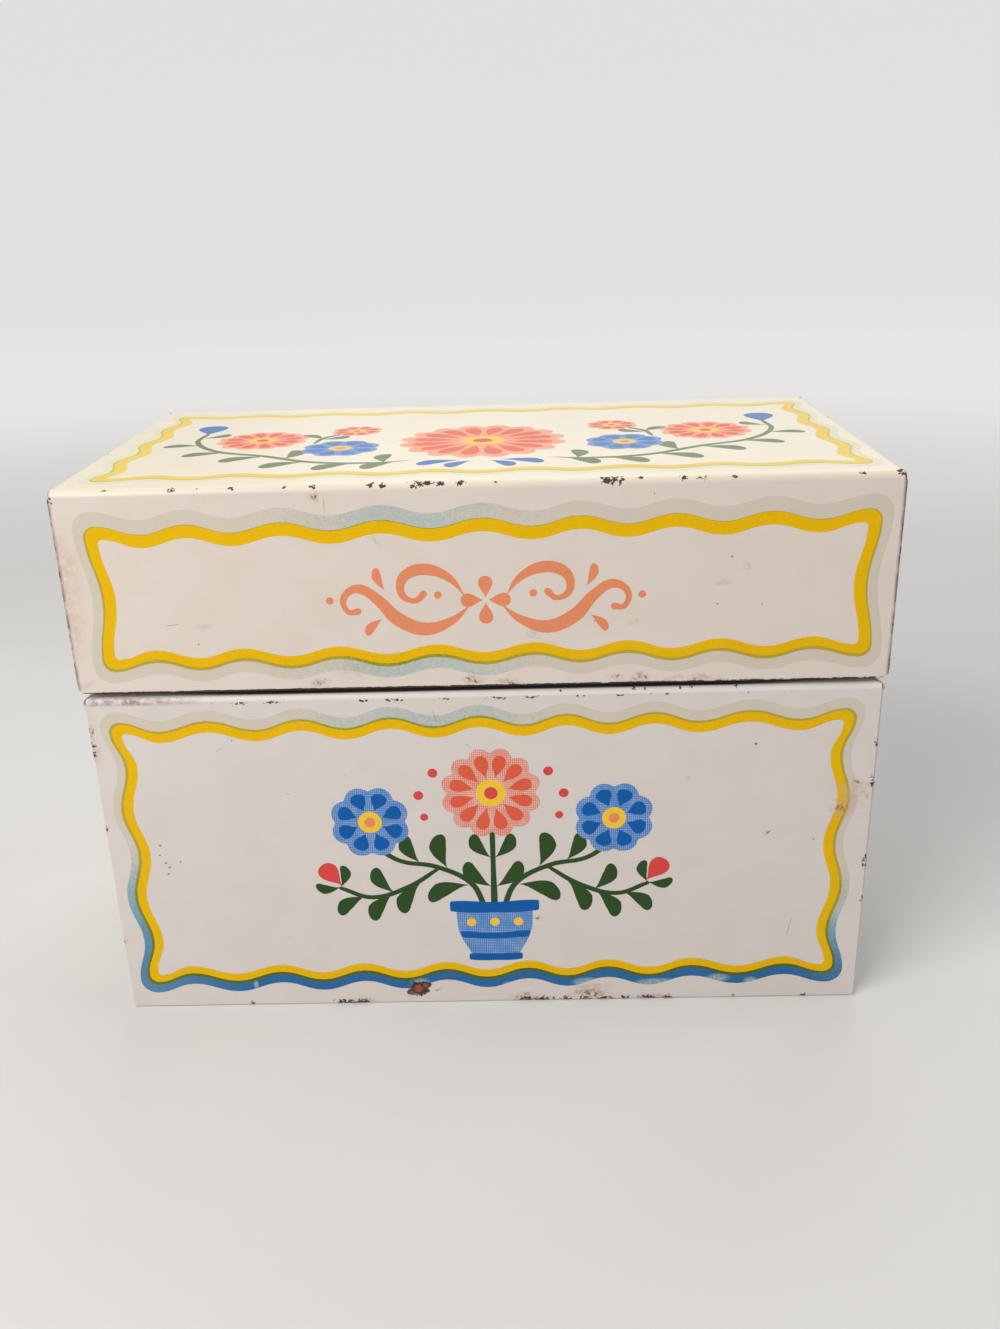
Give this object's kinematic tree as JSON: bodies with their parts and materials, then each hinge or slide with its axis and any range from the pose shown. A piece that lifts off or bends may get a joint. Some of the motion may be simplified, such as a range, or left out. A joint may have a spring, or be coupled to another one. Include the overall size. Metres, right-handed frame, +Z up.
{
  "type": "recipe card box",
  "caption": "Hinged tinplate card box with a deep flush lid, folded corners, rounded rim shoulder, rolled wire hinges and a printed wavy border on its panels.",
  "frame": {"origin": "middle of the base's flat underside, halfway between the base's walls", "axes": "+X along the length to the viewer's right, +Y towards the hinged back, +Z up"},
  "size_m": [0.1334, 0.0751, 0.0968],
  "materials": {
    "printed_tinplate": "warm white printed coat on tinplate, worn to metal and rust at the edges",
    "steel_wire": "drawn wire, dull"
  },
  "bodies": {
    "base": {"base_shell": "printed_tinplate", "hinge_wire_left": "steel_wire", "hinge_wire_right": "steel_wire"},
    "lid": {"lid_shell": "printed_tinplate"}
  },
  "joints": [
    {"name": "lid_hinge", "type": "hinge", "parent": "base", "child": "lid", "pos_m": [0, 0.03715, 0.0622], "axis": [-1, 0, 0], "range_deg": [0, 180]}
  ]
}
